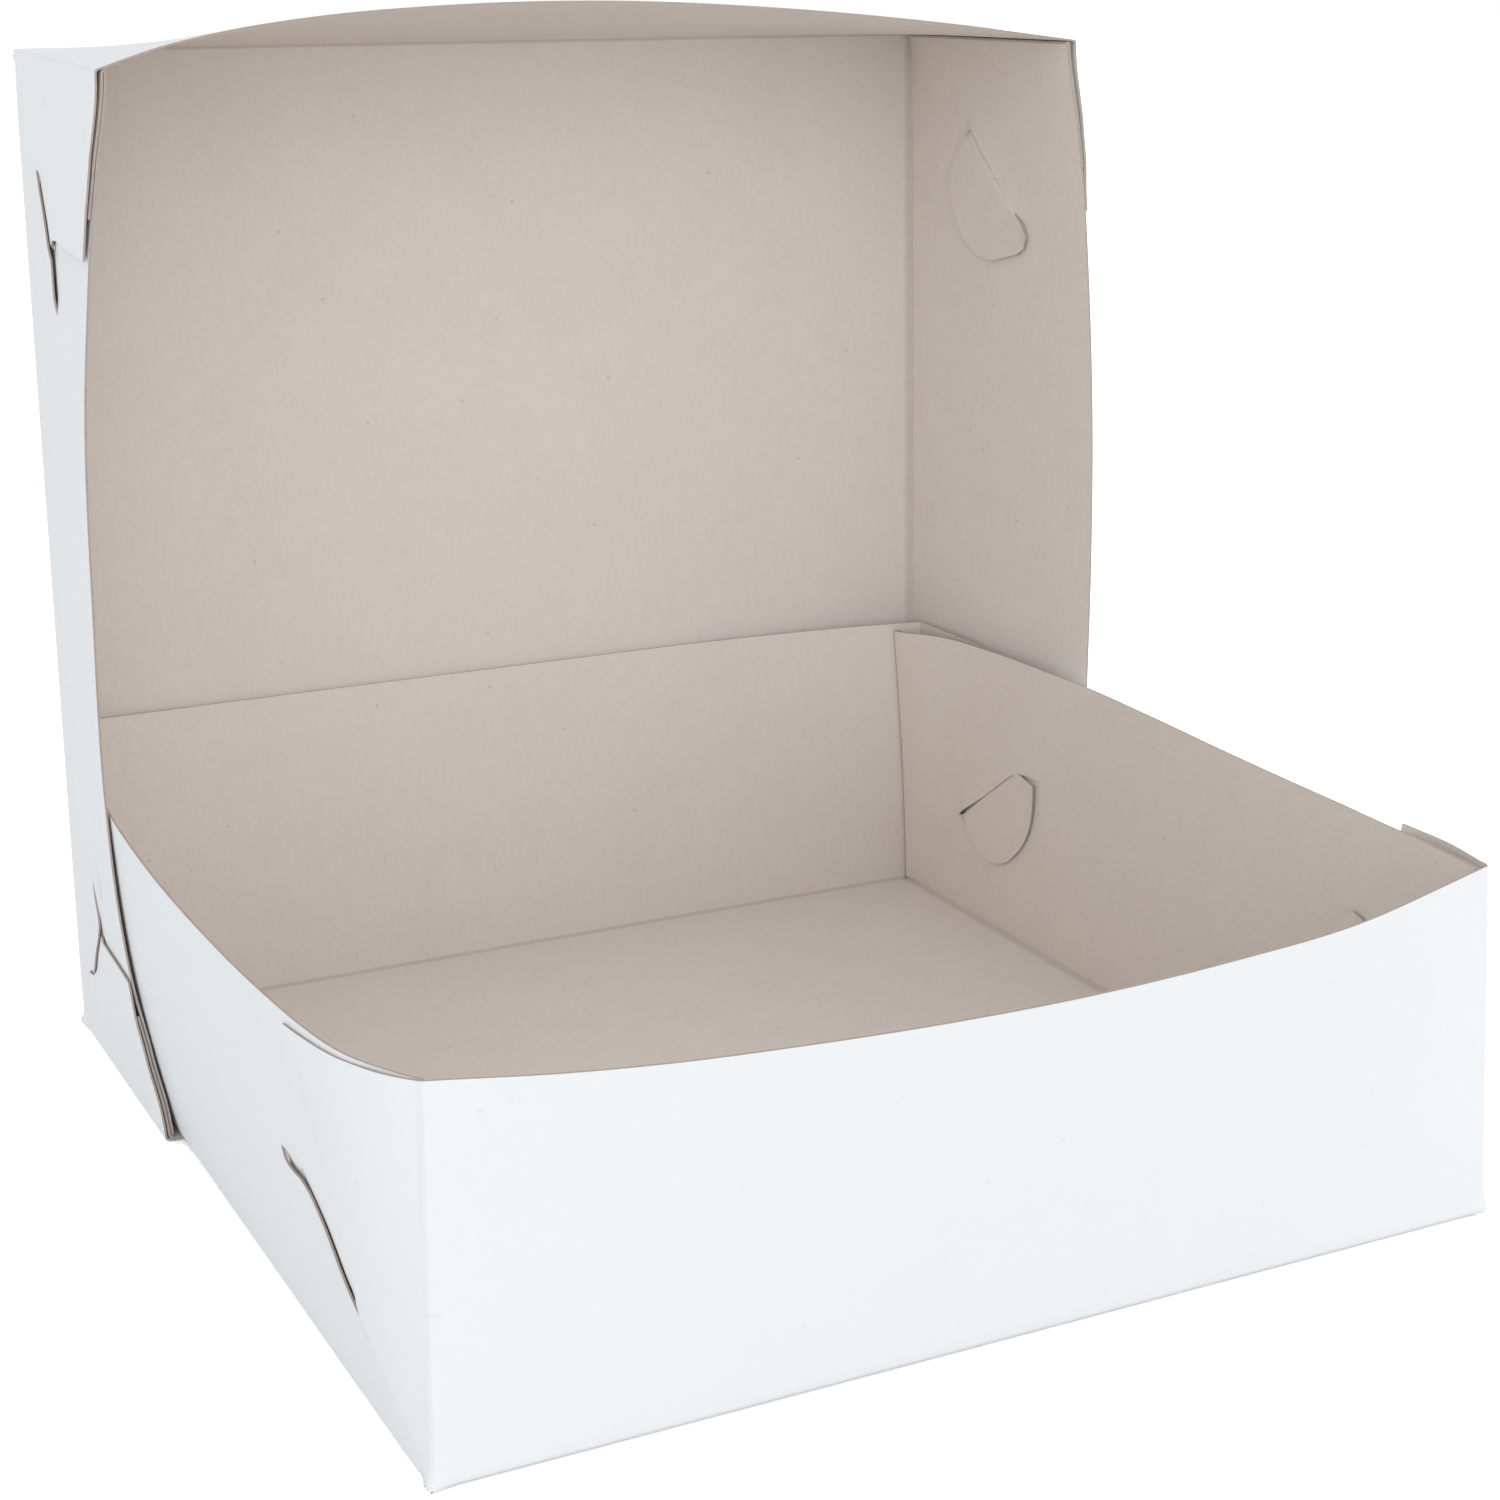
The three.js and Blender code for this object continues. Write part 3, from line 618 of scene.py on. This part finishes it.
class CakeBoxTray(bpy.types.PropertyGroup):
    width: FloatProperty(name="Width", description="Over the outer webs", default=0.305, unit="LENGTH")
    length: FloatProperty(name="Length", description="Over the end walls", default=0.305, unit="LENGTH")
    depth: FloatProperty(name="Depth", description="Height of the walls", default=0.1, unit="LENGTH")
    place: FloatVectorProperty(name="Place", description="Where the front left corner of the floor stands",
                               default=(0.0, 0.0, 0.0), subtype="TRANSLATION")
    tilt: FloatProperty(name="Tilt", description="Turn about the front edge", default=0.0, unit="ROTATION")
    front_lean: FloatProperty(name="Front lean", description="How far the front wall is opened", default=0.0,
                              unit="ROTATION")


class CakeBoxStage(bpy.types.PropertyGroup):
    eye: FloatVectorProperty(name="Eye", description="Where the camera stands", subtype="TRANSLATION",
                             default=(-0.325196, -0.639103, 0.3254))
    azimuth: FloatProperty(name="Azimuth", description="The camera's turn to the right", default=0.4442,
                           unit="ROTATION")
    pitch: FloatProperty(name="Pitch", description="How far the camera looks down", default=0.2429, unit="ROTATION")
    roll: FloatProperty(name="Roll", description="The camera's turn about its own axis", default=-0.0102,
                        unit="ROTATION")
    lens: FloatProperty(name="Lens", description="Focal length in millimetres", default=62.59)
    shift: FloatVectorProperty(name="Shift", description="Shift of the picture", size=2, default=(0.0558, -0.0769))


LOCKS = {
    "base_tray": {
        (False, False): dict(
            LOCK, ear=(1.6, 1.6), lip=1.8, drop=3.0, inner_drop=8.0, rim_press=1.1, gap=[(0, 0.0), (60, 0.0)],
            slit=[(30.4, 29.9), (45.0, 41.0), (58.5, 51.8), (65.2, 52.4), (71.7, 53.4), (75.2, 55.6)],
            opening=[(30.4, 0.0), (31.5, 0.2), (36.0, 0.25), (48.0, 0.32), (58.0, 0.32), (66.0, 1.0), (72.0, 1.3),
                     (74.4, 1.0), (75.2, 0.0)],
            notch=[(0.0, 0.0), (56.0, 0.0), (58.6, 1.2), (61.0, 3.2), (63.0, 0.8), (65.0, 0.0), (80.0, 0.0)]),
        (True, False): dict(
            LOCK, ear=(0.8, 0.8), root=[(27.0, 29.0), (44.0, 58.0)], web_end=[(0.0, 39.5), (0.8, 45.0), (1.0, 44.0)],
            slit=[(26.6, 27.6), (35.0, 41.0), (44.0, 56.6), (52.0, 60.0), (60.0, 61.0)],
            opening=[(26.6, 0.0), (29.0, 0.7), (44.0, 0.9), (60.0, 0.0)],
            gap=[(0, 2.6), (30, 1.2), (60, 0.0)], flare=[(0, 0.0), (16, 2.2), (40, 3.4)]),
        (False, True): dict(LOCK),
        (True, True): dict(
            LOCK, root=[(34.6, 36.6), (68.5, 61.2)], web_end=[(0.0, 54.0), (0.8, 67.0), (1.0, 68.5)],
            slit=[(34.2, 35.2), (46.0, 43.6), (57.0, 51.5), (68.5, 59.6), (76.0, 61.0), (84.5, 61.2)],
            opening=[(34.2, 0.0), (36.5, 0.35), (46.0, 0.4), (64.0, 0.5), (70.0, 0.3), (84.5, 0.0)],
            belly=[(0.0, 2.0), (2.4, 9.0), (4.4, 15.6), (9.0, 21.8), (14.5, 25.0), (20.7, 26.4), (28.4, 25.8),
                   (36.0, 23.6), (42.4, 19.6), (47.6, 13.6), (50.8, 9.0)],
            gap=[(0, 9.4), (14, 6.6), (32, 2.6), (50, 0.6), (62, 0.0)], sink=2.4, hook_lift=0.7),
    },
    "lid_tray": {
        (False, False): dict(
            LOCK, ear=(1.2, 0.0), root=[(26.6, 31.6), (46.6, 50.0)], web_end=[(0.0, 51.0), (0.5, 48.7), (1.0, 46.6)],
            slit=[(25.8, 30.2), (40.0, 43.2), (47.5, 49.8), (53.0, 51.8), (58.7, 50.0), (65.0, 47.4)],
            opening=[(25.8, 0.0), (28.0, 0.12), (38.0, 0.14), (52.0, 0.14), (59.0, 0.12), (65.0, 0.0)],
            gap=[(0, 0.2), (60, 0.0)]),
        (True, False): dict(LOCK),
        (False, True): dict(
            LOCK, root=[(31.0, 31.6), (53.2, 47.4)], web_end=[(0.0, 51.2), (0.5, 51.0), (0.9, 51.4), (1.0, 53.2)],
            slit=[(30.4, 30.4), (45.5, 40.6), (55.6, 47.2), (64.9, 50.6), (72.5, 53.1)],
            opening=[(30.4, 0.0), (33.0, 0.12), (44.0, 0.15), (55.0, 0.15), (60.0, 0.18), (66.0, 0.18), (72.5, 0.0)],
            pressed=0.3, gap=[(0, 0.9), (25, 0.4), (50, 0.0)]),
        (True, True): dict(
            LOCK, root=[(29.9, 40.2), (56.9, 62.6)], web_end=[(0.0, 54.0), (0.8, 57.5), (1.0, 56.9)],
            slit=[(29.6, 38.6), (36.0, 44.0), (43.0, 49.8), (56.9, 60.8), (64.0, 64.6), (74.0, 67.0)],
            opening=[(29.6, 0.0), (32.0, 0.5), (40.0, 0.7), (54.0, 0.7), (58.0, 0.4), (74.0, 0.0)],
            belly=[(0.0, 1.5), (1.0, 9.4), (2.6, 16.6), (8.6, 25.0), (17.5, 28.8), (28.4, 29.0), (36.6, 25.4),
                   (42.8, 18.0), (45.6, 12.0), (48.6, 6.0), (49.2, 2.2), (47.2, -1.6), (42.6, -2.6)],
            gap=[(0, 1.4), (25, 0.6), (50, 0.0)], hook_lift=1.0),
    },
}
RIMS = {"base_tray": BASE_RIMS, "lid_tray": LID_RIMS}
LID_LEAN = 1.36  # degrees that the lid's panel leans back, and that the wall it stands on is opened by
SHARP = 50  # degrees from which an edge of the board is shaded as sharp

TABLE_REACH = 40.0  # metres to each side
TABLE_TOP = -0.0006  # just under the board
TABLE_LIT, TABLE_SEEN = {"Color": (0.92, 0.92, 0.92, 1)}, {"Color": (1.8, 1.8, 1.8, 1)}
WORLD_LIT, WORLD_SEEN = {"Color": (0.99, 0.995, 1.0, 1), "Strength": 0.83}, {"Color": (1, 1, 1, 1), "Strength": 1.0}
# Lamps: (name, place, where it points, diameter, power).
LAMPS = (
    ("front lamp", (-0.5, -2.7, 0.9), (0.0, 0.0, 0.12), 2.0, 9.5),
    ("left lamp", (-2.4, -1.7, 0.9), (0.0, 0.0, 0.12), 2.0, 8.5),
    ("right lamp", (2.3, -1.1, 1.5), (0.0, 0.0, 0.12), 2.0, 12.0),
    ("top lamp", (0.0, -1.2, 2.4), (0.0, 0.0, 0.1), 2.0, 2.0),
)


def seen_or_lit(tree, kind, output, lit, seen):
    """Fills a shader tree with one kind of shader: with the settings lit for light that falls on the trays, and with
    the settings seen for the camera's own rays."""
    tree.nodes.clear()
    camera_ray = add_node(tree, "ShaderNodeLightPath").outputs["Is Camera Ray"]
    both = add_node(tree, "ShaderNodeMixShader", {0: camera_ray, 1: add_node(tree, kind, lit).outputs[0],
                                                  2: add_node(tree, kind, seen).outputs[0]})
    add_node(tree, output, {"Surface": both.outputs[0]})


def make_table():
    """The wide flat table: a grid whose lines are closer together near the trays."""
    across = np.linspace(-1, 1, 25) ** 3 * TABLE_REACH
    points = grid(across[None, :], across[:, None], TABLE_TOP).reshape(-1, 3)
    mesh = bpy.data.meshes.new("table")
    mesh.from_pydata(points.tolist(), [], grid_quads(across.size, across.size).tolist())
    material = bpy.data.materials.new("table")
    material.use_nodes = True
    seen_or_lit(material.node_tree, "ShaderNodeBsdfDiffuse", "ShaderNodeOutputMaterial", TABLE_LIT, TABLE_SEEN)
    mesh.materials.append(material)
    return bpy.data.objects.new("table", mesh)


def make_world():
    """Pale surroundings all round, plain white where the camera sees them."""
    world = bpy.data.worlds.new("surroundings")
    world.use_nodes = True
    seen_or_lit(world.node_tree, "ShaderNodeBackground", "ShaderNodeOutputWorld", WORLD_LIT, WORLD_SEEN)
    return world


def make_lamp(name, place, target, size, power):
    """A soft round lamp that points at the target."""
    light = bpy.data.lights.new(name, "AREA")
    light.shape = "DISK"
    light.size = size
    light.energy = power
    lamp = bpy.data.objects.new(name, light)
    lamp.location = place
    lamp.rotation_euler = (Vector(target) - Vector(place)).to_track_quat("-Z", "Y").to_euler()
    return lamp


def make_camera(stage):
    """The camera at its eye, turned by azimuth, pitch and roll."""
    lens = bpy.data.cameras.new("camera")
    lens.lens = stage.lens
    lens.sensor_width = 36.0
    lens.shift_x, lens.shift_y = stage.shift
    lens.clip_start, lens.clip_end = 0.01, 20.0
    camera = bpy.data.objects.new("camera", lens)
    a, p, r = stage.azimuth, stage.pitch, stage.roll
    ahead = Vector((math.sin(a) * math.cos(p), math.cos(a) * math.cos(p), -math.sin(p)))
    level = Vector((math.cos(a), -math.sin(a), 0.0))
    above = level.cross(ahead)
    right = level * math.cos(r) + above * math.sin(r)
    up = above * math.cos(r) - level * math.sin(r)
    camera.matrix_world = Matrix.Translation(stage.eye) @ Matrix((right, up, -ahead)).transposed().to_4x4()
    return camera


class CAKEBOX_OT_tray(bpy.types.Operator):
    """Makes one tray of folded board in place of its CAD node"""
    bl_idname = "cakebox.tray"
    bl_label = "Make a tray"
    node: StringProperty(name="Node", description="The CAD node that the tray stands for", default="base_tray")

    def execute(self, context):
        sizes = getattr(context.scene, "cakebox_" + self.node)
        parts = tray_mesh(sizes.width / MM, sizes.length / MM, sizes.depth / MM, RIMS[self.node], LOCKS[self.node],
                          math.degrees(sizes.front_lean))
        matrix = Matrix.Translation(sizes.place) @ Matrix.Rotation(sizes.tilt, 4, "X")
        mesh = make_mesh(self.node + "_board", *parts, matrix)
        if len(mesh.polygons) == 0:
            raise RuntimeError("the tray has no faces")
        for material in board_materials():
            mesh.materials.append(material)
        tray = bpy.data.objects.new(self.node + "_board", mesh)
        context.scene.collection.objects.link(tray)
        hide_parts(self.node)
        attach(tray, "root")
        return {"FINISHED"}


class CAKEBOX_OT_stage(bpy.types.Operator):
    """Adds the table, the lamps, the pale surroundings and the camera"""
    bl_idname = "cakebox.stage"
    bl_label = "Set the stage"

    def execute(self, context):
        scene = context.scene
        table = make_table()
        scene.collection.objects.link(table)
        scene.world = make_world()
        for lamp in LAMPS:
            scene.collection.objects.link(make_lamp(*lamp))
        camera = make_camera(scene.cakebox_stage)
        scene.collection.objects.link(camera)
        scene.camera = camera
        scene.view_settings.view_transform = "Standard"
        return {"FINISHED"}


class CAKEBOX_PT_panel(bpy.types.Panel):
    """Buttons for the trays and the stage"""
    bl_idname = "CAKEBOX_PT_panel"
    bl_label = "Cake box"
    bl_space_type = "VIEW_3D"
    bl_region_type = "UI"
    bl_category = "Cake box"

    def draw(self, context):
        layout = self.layout
        for node in RIMS:
            sizes = getattr(context.scene, "cakebox_" + node)
            for name in ("width", "length", "depth", "place", "tilt", "front_lean"):
                layout.prop(sizes, name)
            layout.operator("cakebox.tray", text="Make " + node.replace("_", " ")).node = node
        for name in ("eye", "azimuth", "pitch", "roll", "lens", "shift"):
            layout.prop(context.scene.cakebox_stage, name)
        layout.operator("cakebox.stage")


CLASSES = (CakeBoxTray, CakeBoxStage, CAKEBOX_OT_tray, CAKEBOX_OT_stage, CAKEBOX_PT_panel)


def register():
    for cls in CLASSES:
        bpy.utils.register_class(cls)
    bpy.types.Scene.cakebox_base_tray = PointerProperty(type=CakeBoxTray)
    bpy.types.Scene.cakebox_lid_tray = PointerProperty(type=CakeBoxTray)
    bpy.types.Scene.cakebox_stage = PointerProperty(type=CakeBoxStage)


def unregister():
    del bpy.types.Scene.cakebox_base_tray
    del bpy.types.Scene.cakebox_lid_tray
    del bpy.types.Scene.cakebox_stage
    for cls in reversed(CLASSES):
        bpy.utils.unregister_class(cls)


def main():
    register()
    scene = bpy.context.scene
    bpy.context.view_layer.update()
    base = scene.cakebox_base_tray
    base.place = (-0.151296, -0.147003, 0.0)
    base.tilt = 0.004348
    lid = scene.cakebox_lid_tray
    lid.width, lid.length, lid.depth = 0.3132, 0.31, 0.102
    lid.place = (-0.155996, 0.161997, 0.0)
    lid.tilt = math.radians(90 - LID_LEAN)
    lid.front_lean = math.radians(LID_LEAN)
    bpy.ops.cakebox.stage()
    bpy.ops.cakebox.tray(node="base_tray")
    bpy.ops.cakebox.tray(node="lid_tray")


if __name__ == "__main__":
    main()
